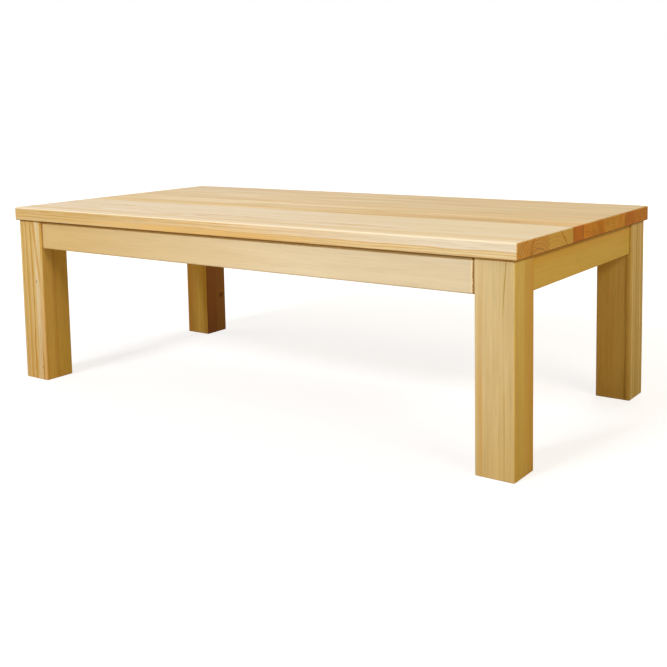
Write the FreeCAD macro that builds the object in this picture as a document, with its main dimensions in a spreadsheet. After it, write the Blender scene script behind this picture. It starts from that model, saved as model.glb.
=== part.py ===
import FreeCAD, Part
import Sketcher
import os

# A low table in solid pine: an edge-glued top on four square legs, with aprons tenoned into the legs,
# corner blocks, a centre rail and turn buttons that hold the top down.
# The origin is on the floor under the middle of the top. +X runs along the length, +Y to the back.

# Driving dimensions in millimetres, and shares of them
SIZES = {
    "table_length": 1200,
    "table_width": 600,
    "table_height": 380,
    "top_thickness": 28,
    "top_arris_radius": 3,
    "top_lower_arris_radius": 1.5,
    "board_1_share": 0.200,
    "board_2_share": 0.163,
    "board_3_share": 0.078,
    "board_4_share": 0.173,
    "board_5_share": 0.163,
    "board_6_share": 0.092,
    "leg_width": 70,
    "leg_inset": 6,
    "leg_arris_radius": 3,
    "foot_chamfer": 1,
    "apron_height": 60,
    "apron_thickness": 22,
    "apron_setback": 4,
    "apron_arris_radius": 3,
    "tenon_thickness": 10,
    "tenon_lower_shoulder": 6,
    "tenon_upper_shoulder": 10,
    "mortise_wall": 4,
    "mortise_end_gap": 1,
    "glue_clearance": 0.1,
    "rail_height": 44,
    "rail_thickness": 30,
    "rail_tenon_thickness": 12,
    "rail_tenon_height": 18,
    "rail_tenon_shoulder": 4,
    "rail_tenon_length": 10,
    "rail_screw_seat": 16,
    "rail_hole_play": 1,
    "block_thickness": 28,
    "block_height": 40,
    "block_rise": 4,
    "block_screw_seat": 12,
    "groove_drop": 10,
    "groove_width": 8,
    "groove_depth": 9,
    "groove_stop": 12,
    "button_length": 40,
    "button_width": 32,
    "button_thickness": 18,
    "button_draw": 0.5,
    "button_gap": 1,
    "tongue_thickness": 7,
    "tongue_length": 8,
    "screw_length": 30,
    "screw_diameter": 4,
    "screw_head_diameter": 8,
    "screw_head_height": 2.8,
    "screw_tip_length": 5,
    "screw_clearance": 0.1,
    "screw_end_gap": 1,
    "recess_width": 1.2,
    "recess_depth": 1.4,
    "driver_clearance": 1.5,
    "cut_overrun": 1,
}
BOARD_COUNT = 7

# Where the screws and buttons lie, as shares of the stretch that they share out
BUTTON_LONG_SHARES = (0.3, 0.8)
BUTTON_SHORT_SHARE = 0.6
BLOCK_SCREW_HEIGHT_SHARES = (0.25, 0.75)
RAIL_SCREW_SHARES = (-0.56, 0, 0.56)

# The pan head narrows to this share of its radius, from this share of its height
CROWN_RADIUS_SHARE = 0.6
CROWN_HEIGHT_SHARE = 0.4
# The cross recess spans this share of the head
RECESS_SPAN_SHARE = 0.55
# Points closer than this share of the table's length are the same
SAME_PLACE_SHARE = 1e-7

doc = FreeCAD.newDocument("low_table")
dims = doc.addObject("Spreadsheet::Sheet", "dims")
for row, (alias, number) in enumerate(SIZES.items(), start=1):
    dims.set(f"A{row}", alias)
    dims.set(f"B{row}", str(number))
    dims.setAlias(f"B{row}", alias)
doc.recompute()

# Levels and lines that pieces share, as expressions on the sheet. Those in X and Y are distances from
# the middle of the table, so a sign in front places them left or right, front or back.
UNDER_TOP = "(dims.table_height - dims.top_thickness)"
END_X = "(dims.table_length / 2)"
SIDE_Y = "(dims.table_width / 2)"
LEG_OUTER_X = f"({END_X} - dims.leg_inset)"
LEG_OUTER_Y = f"({SIDE_Y} - dims.leg_inset)"
LEG_INNER_X = f"({LEG_OUTER_X} - dims.leg_width)"
LEG_INNER_Y = f"({LEG_OUTER_Y} - dims.leg_width)"
LEG_GLUE_Y = f"({LEG_OUTER_Y} - dims.leg_width / 2)"
APRON_OUTER_X = f"({LEG_OUTER_X} - dims.apron_setback)"
APRON_OUTER_Y = f"({LEG_OUTER_Y} - dims.apron_setback)"
APRON_INNER_X = f"({APRON_OUTER_X} - dims.apron_thickness)"
APRON_INNER_Y = f"({APRON_OUTER_Y} - dims.apron_thickness)"
APRON_BOTTOM = f"({UNDER_TOP} - dims.apron_height)"

# The tenons stop short of the legs' glue line
MORTISE_DEPTH = "(dims.leg_width / 2 - dims.mortise_wall)"
TENON_LENGTH = f"({MORTISE_DEPTH} - dims.mortise_end_gap)"
TENON_BOTTOM = f"({APRON_BOTTOM} + dims.tenon_lower_shoulder)"
TENON_TOP = f"({UNDER_TOP} - dims.tenon_upper_shoulder)"
TENON_CHEEK = "((dims.apron_thickness - dims.tenon_thickness) / 2)"
GROOVE_TOP = f"({UNDER_TOP} - dims.groove_drop)"
GROOVE_BOTTOM = f"({GROOVE_TOP} - dims.groove_width)"
RAIL_BOTTOM = f"({UNDER_TOP} - dims.rail_height)"
RAIL_TENON_BOTTOM = f"({RAIL_BOTTOM} + dims.rail_tenon_shoulder)"
RAIL_TENON_TOP = f"({RAIL_TENON_BOTTOM} + dims.rail_tenon_height)"

# A corner block crosses the corner just clear of the leg. Near and far are where its two long faces meet
# the apron, measured from the corner between the aprons' inner faces.
BLOCK_BOTTOM = f"({APRON_BOTTOM} + dims.block_rise)"
BLOCK_NEAR = "(2 * (dims.leg_width - dims.apron_setback - dims.apron_thickness))"
BLOCK_FAR = f"({BLOCK_NEAR} + sqrt(2) * dims.block_thickness)"
BLOCK_SCREW_ALONG = f"(({BLOCK_NEAR} + {BLOCK_FAR}) / 2)"
BLOCK_SCREW_LEVELS = [
    f"({BLOCK_BOTTOM} + {share} * dims.block_height)"
    for share in BLOCK_SCREW_HEIGHT_SHARES
]

# The buttons stand clear of the top's underside, so that their screws draw the apron up to it
BUTTON_TOP = f"({UNDER_TOP} - dims.button_draw)"
BUTTON_BOTTOM = f"({BUTTON_TOP} - dims.button_thickness)"
BUTTON_SCREW_IN = "(dims.button_gap + dims.button_width / 2)"
RAIL_SCREW_LEVEL = f"({UNDER_TOP} - dims.rail_screw_seat)"
SCREW_HOLE = "(dims.screw_diameter + 2 * dims.screw_clearance)"
HEAD_HOLE = "(dims.screw_head_diameter + 2 * dims.driver_clearance)"

UP = FreeCAD.Vector(0, 0, 1)
SIDES = {"left": -1, "right": 1}
DEPTHS = {"front": -1, "back": 1}
nodes = []


def value(expression):
    return float(dims.evalExpression(expression))


def start_body(name):
    body = doc.addObject("PartDesign::Body", name)
    body.Label = name
    return body


def origin_plane(body, role):
    return next(feature for feature in body.Origin.OriginFeatures if feature.Role == role)


# An outline through points given as pairs of expressions, on a plane through the body's origin
def outline(body, name, role, points):
    sketch = body.newObject("Sketcher::SketchObject", f"{name}_outline")
    sketch.AttachmentSupport = [(origin_plane(body, role), "")]
    sketch.MapMode = "FlatFace"
    corners = [FreeCAD.Vector(value(across), value(along), 0) for across, along in points]
    for corner, following in zip(corners, corners[1:] + corners[:1]):
        sketch.addGeometry(Part.LineSegment(corner, following), False)
    for line in range(len(points)):
        after = (line + 1) % len(points)
        sketch.addConstraint(Sketcher.Constraint("Coincident", line, 2, after, 1))
    for line, place in enumerate(points):
        for kind, expression in zip(("DistanceX", "DistanceY"), place):
            datum = Sketcher.Constraint(kind, -1, 1, line, 1, value(expression))
            number = sketch.addConstraint(datum)
            sketch.setExpression(f"Constraints[{number}]", expression)
    return sketch


def rectangle(west, south, east, north):
    return [(west, south), (east, south), (east, north), (west, north)]


# Material from a bottom level to a top level inside an outline
def extrude(body, name, points, bottom, top):
    sketch = outline(body, name, "XY_Plane", points)
    sketch.setExpression("AttachmentOffset.Base.z", bottom)
    pad = body.newObject("PartDesign::Pad", name)
    pad.Profile = sketch
    pad.setExpression("Length", f"{top} - {bottom}")


# Material cut away from a bottom level to a top level inside an outline
def cut_out(body, name, points, bottom, top):
    sketch = outline(body, name, "XY_Plane", points)
    sketch.setExpression("AttachmentOffset.Base.z", bottom)
    pocket = body.newObject("PartDesign::Pocket", name)
    pocket.Profile = sketch
    pocket.Reversed = True
    pocket.setExpression("Length", f"{top} - {bottom}")


# A round hole from its mouth into the piece
def drill(body, name, mouth, direction, diameter, depth):
    hole = body.newObject("PartDesign::SubtractiveCylinder", name)
    hole.Placement = FreeCAD.Placement(FreeCAD.Vector(), FreeCAD.Rotation(UP, direction))
    for axis, place in zip("xyz", mouth):
        hole.setExpression(f"Placement.Base.{axis}", place)
    hole.setExpression("Radius", f"{diameter} / 2")
    hole.setExpression("Height", depth)


# How many of the planes, each an axis and a place, an edge lies in
def planes_met(edge, planes):
    near = value("dims.table_length") * SAME_PLACE_SHARE
    met = 0
    for axis, place in planes:
        level = value(place)
        if all(abs(getattr(vertex.Point, axis) - level) < near for vertex in edge.Vertexes):
            met += 1
    return met


# Rounds the edges in which two of the planes meet
def round_arrises(body, name, planes, radius):
    doc.recompute()
    base = body.Tip
    edges = [
        f"Edge{number}"
        for number, edge in enumerate(base.Shape.Edges, start=1)
        if planes_met(edge, planes) > 1
    ]
    fillet = body.newObject("PartDesign::Fillet", name)
    fillet.Base = (base, edges)
    fillet.setExpression("Radius", radius)


# Names of the edges in one plane, without those that also lie in a glued face
def rim_edges(base, plane, glued):
    return [
        f"Edge{number}"
        for number, edge in enumerate(base.Shape.Edges, start=1)
        if planes_met(edge, [plane]) and not planes_met(edge, glued)
    ]


# One node of separate copies of a pattern, each at a place and with a turn
def place_copies(name, pattern, places):
    copies = []
    for number, (place, turn) in enumerate(places, start=1):
        copy = doc.addObject("App::Link", f"{name}_{number}")
        copy.LinkedObject = pattern
        copy.Placement = FreeCAD.Placement(FreeCAD.Vector(), turn)
        for axis, expression in zip("xyz", place):
            copy.setExpression(f"Placement.Base.{axis}", expression)
        copies.append(copy)
    group = doc.addObject("Part::Compound", name)
    group.Label = name
    group.Links = copies
    nodes.append(group)


# Where the buttons stand: each apron's side, the place on its inner face and the turn about Z that
# points the button from the apron to the middle of the table
button_places = []
for depth_name, depth in DEPTHS.items():
    turn = FreeCAD.Rotation(UP, 0 if depth < 0 else 180)
    for side in SIDES.values():
        for share in BUTTON_LONG_SHARES:
            clear = f"({APRON_INNER_X} - {BLOCK_FAR} - dims.rail_thickness / 2)"
            along = f"{side} * (dims.rail_thickness / 2 + {share} * {clear})"
            screw_y = f"{depth} * ({APRON_INNER_Y} - {BUTTON_SCREW_IN})"
            button_places.append((depth_name, (along, f"{depth} * {APRON_INNER_Y}"), (along, screw_y), turn))
for side_name, side in SIDES.items():
    turn = FreeCAD.Rotation(UP, 90 * side)
    for depth in DEPTHS.values():
        along = f"{depth} * {BUTTON_SHORT_SHARE} * ({APRON_INNER_Y} - {BLOCK_FAR})"
        screw_x = f"{side} * ({APRON_INNER_X} - {BUTTON_SCREW_IN})"
        button_places.append((side_name, (f"{side} * {APRON_INNER_X}", along), (screw_x, along), turn))

# Where the centre rail's screws stand along it
rail_screw_places = [f"{share} * {APRON_INNER_Y}" for share in RAIL_SCREW_SHARES]

# How deep the pilot holes go, and where those in the top's underside are
BLOCK_PILOT = "(dims.screw_length - dims.block_screw_seat + dims.screw_end_gap)"
BUTTON_PILOT = "(dims.screw_length - dims.button_thickness - dims.button_draw + dims.screw_end_gap)"
RAIL_PILOT = "(dims.screw_length - dims.rail_screw_seat + dims.screw_end_gap)"
top_pilots = [(screw, BUTTON_PILOT) for _, _, screw, _ in button_places]
top_pilots += [(("0", along), RAIL_PILOT) for along in rail_screw_places]


# The top: full-length boards edge-glued side by side, from the front edge to the back edge. The panel's
# upper arrises and its corners are rounded more than its lower arrises.
def make_top_board(number):
    name = f"top_board_{number}"
    shares = [f"dims.board_{earlier}_share" for earlier in range(1, BOARD_COUNT)]
    front = " + ".join(["0"] + shares[: number - 1])
    back = " + ".join(["0"] + shares[:number]) if number < BOARD_COUNT else "1"
    front_y = f"(dims.table_width * ({front}) - {SIDE_Y})"
    back_y = f"(dims.table_width * ({back}) - {SIDE_Y})"
    body = start_body(name)
    board = rectangle(f"-{END_X}", front_y, END_X, back_y)
    extrude(body, f"{name}_wood", board, UNDER_TOP, "dims.table_height")
    arris_planes = [("x", f"-{END_X}"), ("x", END_X), ("z", "dims.table_height")]
    glued_planes = []
    if number == 1:
        arris_planes.append(("y", front_y))
    else:
        glued_planes.append(("y", front_y))
    if number == BOARD_COUNT:
        arris_planes.append(("y", back_y))
    else:
        glued_planes.append(("y", back_y))
    round_arrises(body, f"{name}_arrises", arris_planes, "dims.top_arris_radius")
    doc.recompute()
    base = body.Tip
    fillet = body.newObject("PartDesign::Fillet", f"{name}_lower_arrises")
    fillet.Base = (base, rim_edges(base, ("z", UNDER_TOP), glued_planes))
    fillet.setExpression("Radius", "dims.top_lower_arris_radius")
    reach = value(SCREW_HOLE) / 2
    for hole, ((across, along), depth) in enumerate(top_pilots, start=1):
        if value(front_y) - reach < value(along) < value(back_y) + reach:
            mouth = (across, along, UNDER_TOP)
            drill(body, f"{name}_pilot_{hole}", mouth, UP, SCREW_HOLE, depth)
    nodes.append(body)


# One half of a leg, glued to the other half along the length of the table. The outer half has the
# mortise of the long apron, the inner half that of the short apron.
def make_leg_half(leg_name, side, depth, outer):
    facing = depth if outer else -depth
    face_name = next(word for word, sign in DEPTHS.items() if sign == facing)
    name = f"{leg_name}_leg_{face_name}_half"
    face_y = f"{depth} * {LEG_OUTER_Y if outer else LEG_INNER_Y}"
    glue_y = f"{depth} * {LEG_GLUE_Y}"
    outer_x = f"{side} * {LEG_OUTER_X}"
    inner_x = f"{side} * {LEG_INNER_X}"
    body = start_body(name)
    extrude(body, f"{name}_wood", rectangle(outer_x, face_y, inner_x, glue_y), "0", UNDER_TOP)
    corner_planes = [("x", outer_x), ("x", inner_x), ("y", face_y)]
    round_arrises(body, f"{name}_arrises", corner_planes, "dims.leg_arris_radius")
    doc.recompute()
    base = body.Tip
    chamfer = body.newObject("PartDesign::Chamfer", f"{name}_foot")
    chamfer.Base = (base, rim_edges(base, ("z", "0"), [("y", glue_y)]))
    chamfer.setExpression("Size", "dims.foot_chamfer")
    cheek = f"({TENON_CHEEK} - dims.glue_clearance)"
    far_cheek = f"({TENON_CHEEK} + dims.tenon_thickness + dims.glue_clearance)"
    if outer:
        mouth = f"{side} * ({LEG_INNER_X} - dims.cut_overrun)"
        end = f"{side} * ({LEG_INNER_X} + {MORTISE_DEPTH})"
        near_y = f"{depth} * ({APRON_INNER_Y} + {cheek})"
        far_y = f"{depth} * ({APRON_INNER_Y} + {far_cheek})"
        mortise = rectangle(mouth, near_y, end, far_y)
    else:
        mouth = f"{depth} * ({LEG_INNER_Y} - dims.cut_overrun)"
        end = f"{depth} * ({LEG_INNER_Y} + {MORTISE_DEPTH})"
        near_x = f"{side} * ({APRON_INNER_X} + {cheek})"
        far_x = f"{side} * ({APRON_INNER_X} + {far_cheek})"
        mortise = rectangle(near_x, mouth, far_x, end)
    mortise_bottom = f"({TENON_BOTTOM} - dims.glue_clearance)"
    mortise_top = f"({TENON_TOP} + dims.glue_clearance)"
    cut_out(body, f"{name}_mortise", mortise, mortise_bottom, mortise_top)
    nodes.append(body)


# A long apron, with a tenon at each end, a mortise for the centre rail and a groove for the buttons.
# Its arrises are rounded at the shoulders too, so a fine shadow line shows against the legs.
def make_long_apron(depth_name, depth):
    name = f"{depth_name}_apron"
    inner_y = f"{depth} * {APRON_INNER_Y}"
    outer_y = f"{depth} * {APRON_OUTER_Y}"
    body = start_body(name)
    board = rectangle(f"-{LEG_INNER_X}", inner_y, LEG_INNER_X, outer_y)
    extrude(body, f"{name}_wood", board, APRON_BOTTOM, UNDER_TOP)
    arris_planes = [("z", APRON_BOTTOM), ("y", inner_y), ("y", outer_y)]
    arris_planes += [("x", f"-{LEG_INNER_X}"), ("x", LEG_INNER_X)]
    round_arrises(body, f"{name}_arrises", arris_planes, "dims.apron_arris_radius")
    reach = f"({LEG_INNER_X} + {TENON_LENGTH})"
    near_cheek = f"{depth} * ({APRON_INNER_Y} + {TENON_CHEEK})"
    far_cheek = f"{depth} * ({APRON_INNER_Y} + {TENON_CHEEK} + dims.tenon_thickness)"
    tenons = rectangle(f"-{reach}", near_cheek, reach, far_cheek)
    extrude(body, f"{name}_tenons", tenons, TENON_BOTTOM, TENON_TOP)
    mouth = f"{depth} * ({APRON_INNER_Y} - dims.cut_overrun)"
    groove_end = f"{depth} * ({APRON_INNER_Y} + dims.groove_depth)"
    stop = f"({LEG_INNER_X} - dims.groove_stop)"
    groove = rectangle(f"-{stop}", mouth, stop, groove_end)
    cut_out(body, f"{name}_groove", groove, GROOVE_BOTTOM, GROOVE_TOP)
    half = "(dims.rail_tenon_thickness / 2 + dims.glue_clearance)"
    mortise_end = f"{depth} * ({APRON_INNER_Y} + dims.rail_tenon_length + dims.mortise_end_gap)"
    mortise = rectangle(f"-{half}", mouth, half, mortise_end)
    mortise_bottom = f"({RAIL_TENON_BOTTOM} - dims.glue_clearance)"
    mortise_top = f"({RAIL_TENON_TOP} + dims.glue_clearance)"
    cut_out(body, f"{name}_rail_mortise", mortise, mortise_bottom, mortise_top)
    outward = FreeCAD.Vector(0, depth, 0)
    for side_name, side in SIDES.items():
        for count, level in enumerate(BLOCK_SCREW_LEVELS, start=1):
            place = (f"{side} * ({APRON_INNER_X} - {BLOCK_SCREW_ALONG})", inner_y, level)
            drill(body, f"{name}_{side_name}_pilot_{count}", place, outward, SCREW_HOLE, BLOCK_PILOT)
    nodes.append(body)


# A short apron, with a tenon at each end and a groove for the buttons
def make_short_apron(side_name, side):
    name = f"{side_name}_apron"
    inner_x = f"{side} * {APRON_INNER_X}"
    outer_x = f"{side} * {APRON_OUTER_X}"
    body = start_body(name)
    board = rectangle(inner_x, f"-{LEG_INNER_Y}", outer_x, LEG_INNER_Y)
    extrude(body, f"{name}_wood", board, APRON_BOTTOM, UNDER_TOP)
    arris_planes = [("z", APRON_BOTTOM), ("x", inner_x), ("x", outer_x)]
    arris_planes += [("y", f"-{LEG_INNER_Y}"), ("y", LEG_INNER_Y)]
    round_arrises(body, f"{name}_arrises", arris_planes, "dims.apron_arris_radius")
    reach = f"({LEG_INNER_Y} + {TENON_LENGTH})"
    near_cheek = f"{side} * ({APRON_INNER_X} + {TENON_CHEEK})"
    far_cheek = f"{side} * ({APRON_INNER_X} + {TENON_CHEEK} + dims.tenon_thickness)"
    tenons = rectangle(near_cheek, f"-{reach}", far_cheek, reach)
    extrude(body, f"{name}_tenons", tenons, TENON_BOTTOM, TENON_TOP)
    mouth = f"{side} * ({APRON_INNER_X} - dims.cut_overrun)"
    groove_end = f"{side} * ({APRON_INNER_X} + dims.groove_depth)"
    stop = f"({LEG_INNER_Y} - dims.groove_stop)"
    groove = rectangle(mouth, f"-{stop}", groove_end, stop)
    cut_out(body, f"{name}_groove", groove, GROOVE_BOTTOM, GROOVE_TOP)
    outward = FreeCAD.Vector(side, 0, 0)
    for depth_name, depth in DEPTHS.items():
        for count, level in enumerate(BLOCK_SCREW_LEVELS, start=1):
            place = (inner_x, f"{depth} * ({APRON_INNER_Y} - {BLOCK_SCREW_ALONG})", level)
            drill(body, f"{name}_{depth_name}_pilot_{count}", place, outward, SCREW_HOLE, BLOCK_PILOT)
    nodes.append(body)


# The centre rail under the top, tenoned into the long aprons, with sunk screw holes that leave the top
# room to move
def make_centre_rail():
    name = "centre_rail"
    half = "(dims.rail_thickness / 2)"
    body = start_body(name)
    bar = rectangle(f"-{half}", f"-{APRON_INNER_Y}", half, APRON_INNER_Y)
    extrude(body, f"{name}_wood", bar, RAIL_BOTTOM, UNDER_TOP)
    arris_planes = [("z", RAIL_BOTTOM), ("x", f"-{half}"), ("x", half)]
    round_arrises(body, f"{name}_arrises", arris_planes, "dims.apron_arris_radius")
    reach = f"({APRON_INNER_Y} + dims.rail_tenon_length)"
    tenon_half = "(dims.rail_tenon_thickness / 2)"
    tenons = rectangle(f"-{tenon_half}", f"-{reach}", tenon_half, reach)
    extrude(body, f"{name}_tenons", tenons, RAIL_TENON_BOTTOM, RAIL_TENON_TOP)
    loose_hole = "(dims.screw_diameter + 2 * dims.rail_hole_play)"
    for count, along in enumerate(rail_screw_places, start=1):
        drill(body, f"{name}_sink_{count}", ("0", along, RAIL_BOTTOM), UP, HEAD_HOLE,
              f"{RAIL_SCREW_LEVEL} - {RAIL_BOTTOM}")
        drill(body, f"{name}_hole_{count}", ("0", along, RAIL_SCREW_LEVEL), UP, loose_hole,
              "dims.rail_screw_seat")
    nodes.append(body)


# A block across the corner behind a leg, with sunk holes for the screws into both aprons
def make_corner_block(leg_name, side, depth):
    name = f"{leg_name}_corner_block"
    near_x = f"{side} * ({APRON_INNER_X} - {BLOCK_NEAR})"
    far_x = f"{side} * ({APRON_INNER_X} - {BLOCK_FAR})"
    near_y = f"{depth} * ({APRON_INNER_Y} - {BLOCK_NEAR})"
    far_y = f"{depth} * ({APRON_INNER_Y} - {BLOCK_FAR})"
    face_x = f"{side} * {APRON_INNER_X}"
    face_y = f"{depth} * {APRON_INNER_Y}"
    body = start_body(name)
    points = [(near_x, face_y), (far_x, face_y), (face_x, far_y), (face_x, near_y)]
    extrude(body, f"{name}_wood", points, BLOCK_BOTTOM, f"({BLOCK_BOTTOM} + dims.block_height)")
    screw_x = f"{side} * ({APRON_INNER_X} - {BLOCK_SCREW_ALONG})"
    screw_y = f"{depth} * ({APRON_INNER_Y} - {BLOCK_SCREW_ALONG})"
    seat_x = f"{side} * ({APRON_INNER_X} - dims.block_screw_seat)"
    seat_y = f"{depth} * ({APRON_INNER_Y} - dims.block_screw_seat)"
    to_long_apron = FreeCAD.Vector(0, depth, 0)
    to_short_apron = FreeCAD.Vector(side, 0, 0)
    for count, level in enumerate(BLOCK_SCREW_LEVELS, start=1):
        for word, seat, inward in (
            ("long", (screw_x, seat_y, level), to_long_apron),
            ("short", (seat_x, screw_y, level), to_short_apron),
        ):
            drill(body, f"{name}_{word}_hole_{count}", seat, inward, SCREW_HOLE, "dims.block_screw_seat")
            drill(body, f"{name}_{word}_sink_{count}", seat, -inward, HEAD_HOLE, BLOCK_FAR)
    nodes.append(body)


# A turn button: a block with a tongue at one end, drawn with the apron's inner face at y = 0
def make_button_pattern():
    name = "button_pattern"
    half = "(dims.button_length / 2)"
    body = start_body(name)
    back = "(dims.button_gap + dims.button_width)"
    extrude(body, f"{name}_wood", rectangle(f"-{half}", "dims.button_gap", half, back),
             BUTTON_BOTTOM, BUTTON_TOP)
    tongue = rectangle(f"-{half}", "-dims.tongue_length", half, back)
    extrude(body, f"{name}_tongue", tongue, f"({GROOVE_TOP} - dims.tongue_thickness)", GROOVE_TOP)
    mouth = ("0", BUTTON_SCREW_IN, BUTTON_BOTTOM)
    drill(body, f"{name}_hole", mouth, UP, SCREW_HOLE, "dims.button_thickness")
    return body


# A pan-head wood screw, drawn with the underside of its head at the origin and its point up +Z
def make_screw_pattern():
    name = "screw_pattern"
    head = "(dims.screw_head_diameter / 2)"
    shank = "(dims.screw_diameter / 2)"
    crown = f"({CROWN_RADIUS_SHARE} * {head})"
    profile = [
        ("0", "-dims.screw_head_height"),
        (crown, "-dims.screw_head_height"),
        (head, f"-{CROWN_HEIGHT_SHARE} * dims.screw_head_height"),
        (head, "0"),
        (shank, "0"),
        (shank, "(dims.screw_length - dims.screw_tip_length)"),
        ("0", "dims.screw_length"),
    ]
    body = start_body(name)
    sketch = outline(body, f"{name}_profile", "XZ_Plane", profile)
    turned = body.newObject("PartDesign::Revolution", f"{name}_turned")
    turned.Profile = sketch
    turned.ReferenceAxis = (sketch, ["V_Axis"])
    slot = "(dims.recess_width / 2)"
    span = f"({RECESS_SPAN_SHARE} * {head})"
    floor = "(dims.recess_depth - dims.screw_head_height)"
    for word, across, along in (("first", slot, span), ("second", span, slot)):
        points = rectangle(f"-{across}", f"-{along}", across, along)
        cut_out(body, f"{name}_{word}_recess", points, "(-dims.screw_head_height)", floor)
    return body


for board_number in range(1, BOARD_COUNT + 1):
    make_top_board(board_number)
for depth_name, depth in DEPTHS.items():
    for side_name, side in SIDES.items():
        corner_name = f"{depth_name}_{side_name}"
        for outer in (True, False):
            make_leg_half(corner_name, side, depth, outer)
        make_corner_block(corner_name, side, depth)
for depth_name, depth in DEPTHS.items():
    make_long_apron(depth_name, depth)
for side_name, side in SIDES.items():
    make_short_apron(side_name, side)
make_centre_rail()

button_pattern = make_button_pattern()
for apron_side in (*DEPTHS, *SIDES):
    places = [((x, y, "0"), turn) for word, (x, y), _, turn in button_places if word == apron_side]
    place_copies(f"{apron_side}_buttons", button_pattern, places)

screw_pattern = make_screw_pattern()
upright = FreeCAD.Rotation()
button_screws = [((x, y, BUTTON_BOTTOM), upright) for _, _, (x, y), _ in button_places]
place_copies("button_screws", screw_pattern, button_screws)
rail_screws = [(("0", along, RAIL_SCREW_LEVEL), upright) for along in rail_screw_places]
place_copies("rail_screws", screw_pattern, rail_screws)
block_screws = []
for depth in DEPTHS.values():
    for side in SIDES.values():
        for level in BLOCK_SCREW_LEVELS:
            screw_x = f"{side} * ({APRON_INNER_X} - {BLOCK_SCREW_ALONG})"
            seat_y = f"{depth} * ({APRON_INNER_Y} - dims.block_screw_seat)"
            to_long = FreeCAD.Rotation(UP, FreeCAD.Vector(0, depth, 0))
            block_screws.append(((screw_x, seat_y, level), to_long))
            seat_x = f"{side} * ({APRON_INNER_X} - dims.block_screw_seat)"
            screw_y = f"{depth} * ({APRON_INNER_Y} - {BLOCK_SCREW_ALONG})"
            to_short = FreeCAD.Rotation(UP, FreeCAD.Vector(side, 0, 0))
            block_screws.append(((seat_x, screw_y, level), to_short))
place_copies("corner_block_screws", screw_pattern, block_screws)

doc.recompute()
faults = [part.Label for part in doc.Objects if {"Invalid", "Error"} & set(part.State)]
faults += [node.Label for node in nodes if node.Shape.isNull() or not node.Shape.isValid()]
if faults:
    raise RuntimeError("These did not build: " + ", ".join(faults))
os.makedirs("parts", exist_ok=True)
for node in nodes:
    node.Shape.exportStep(f"parts/{node.Label}.step")
    print(node.Label, len(node.Shape.Solids), "solids", round(node.Shape.Volume), "mm3")
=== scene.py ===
import math
import bmesh
import bpy
from mathutils import Euler, Matrix, Vector


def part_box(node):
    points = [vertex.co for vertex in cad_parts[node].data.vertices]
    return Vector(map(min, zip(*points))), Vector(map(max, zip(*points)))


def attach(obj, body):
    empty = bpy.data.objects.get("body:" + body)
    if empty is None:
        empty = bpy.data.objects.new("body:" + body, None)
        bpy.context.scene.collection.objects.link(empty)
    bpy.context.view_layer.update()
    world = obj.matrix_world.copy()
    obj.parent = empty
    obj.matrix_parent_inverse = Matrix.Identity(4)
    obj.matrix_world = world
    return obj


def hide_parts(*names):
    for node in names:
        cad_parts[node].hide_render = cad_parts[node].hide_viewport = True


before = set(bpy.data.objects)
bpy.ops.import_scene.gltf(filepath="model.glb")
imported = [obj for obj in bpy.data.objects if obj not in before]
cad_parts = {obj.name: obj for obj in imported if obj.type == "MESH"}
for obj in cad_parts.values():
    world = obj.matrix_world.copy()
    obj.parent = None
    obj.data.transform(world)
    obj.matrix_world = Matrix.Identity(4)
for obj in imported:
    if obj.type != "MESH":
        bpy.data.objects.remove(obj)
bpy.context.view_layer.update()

# Legs: four square posts of lacquered pine. Each is glued up from a front and a back half that were planed
# together, with the long corners rounded by hand and a small chamfer round the foot against splitting.
MM = 0.001
LEG_ARRIS = 3 * MM
FOOT_CHAMFER = 1 * MM
ARRIS_STEPS = 5
SHARP_ANGLE = math.radians(40)
SAME_WAY = 0.99
ALONG = Vector((1, 0, 0))
UPRIGHT = Vector((0, 0, 1))
SIDES = {
    "left": Vector((-1, 0, 0)),
    "right": Vector((1, 0, 0)),
    "front": Vector((0, -1, 0)),
    "back": Vector((0, 1, 0)),
    "under": Vector((0, 0, -1)),
    "upper": Vector((0, 0, 1)),
}


# Linear light from an sRGB hex colour
def linear(hex_colour):
    channels = [int(hex_colour[place:place + 2], 16) / 255 for place in (1, 3, 5)]
    straight = [c / 12.92 if c <= 0.04045 else ((c + 0.055) / 1.055) ** 2.4 for c in channels]
    return (*straight, 1.0)


# Adds a shader node with its settings, its fixed values and its links
def add(tree, kind, inputs, **settings):
    node = tree.nodes.new(kind)
    for key, setting in settings.items():
        setattr(node, key, setting)
    for key, given in inputs.items():
        if isinstance(given, bpy.types.NodeSocket):
            tree.links.new(given, node.inputs[key])
        else:
            node.inputs[key].default_value = given
    return node


# Planed pine under clear satin lacquer. Pale spring wood deepens into a narrow band of orange summer wood
# that stops short, once a year, round the heart of the tree. Where the saw meets those rings decides the
# figure: straight lines, arches on the long faces, arcs on the ends, whose open pores drink more lacquer.
# Places on a piece are given as shares of its box, and lengths and the heart's place in millimetres.
PLAIN_TIMBER = {
    "ripple": 1.2, "cloud": (800, 40), "warm": 0.55, "fibre": 0.13, "end_rings": 0.74, "soak": "#FAD592",
}
PLAIN_STREAK = {"sway": 5, "soft": 0.6}
WANDER = 8
WEATHER_TURN = 0.31
WEATHER_YEARS = 3.0
YEAR_TURNS = 0.25
YEAR_DARKENS = ((0.08, 0.02), (0.45, 0.1), (0.72, 0.5), (0.86, 0.95), (0.94, 1.0))
FAINT_YEAR = 0.3
DARK_YEAR = 1.5
MARK_RAGGED = 0.8
MOTTLE_TINT = Vector((0.75, 1.0, 1.6))
SPRING_ENDS = 1.12
RING_RELIEF = 0.5
RELIEF_HEIGHT = 0.2 * MM
SATIN = 0.55
SATIN_ENDS = 0.65


# Scale of a pattern that is so many millimetres long with the grain, and so wide across it
def spread(long, wide):
    return (1 / long, 1 / wide, 1 / wide)


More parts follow.
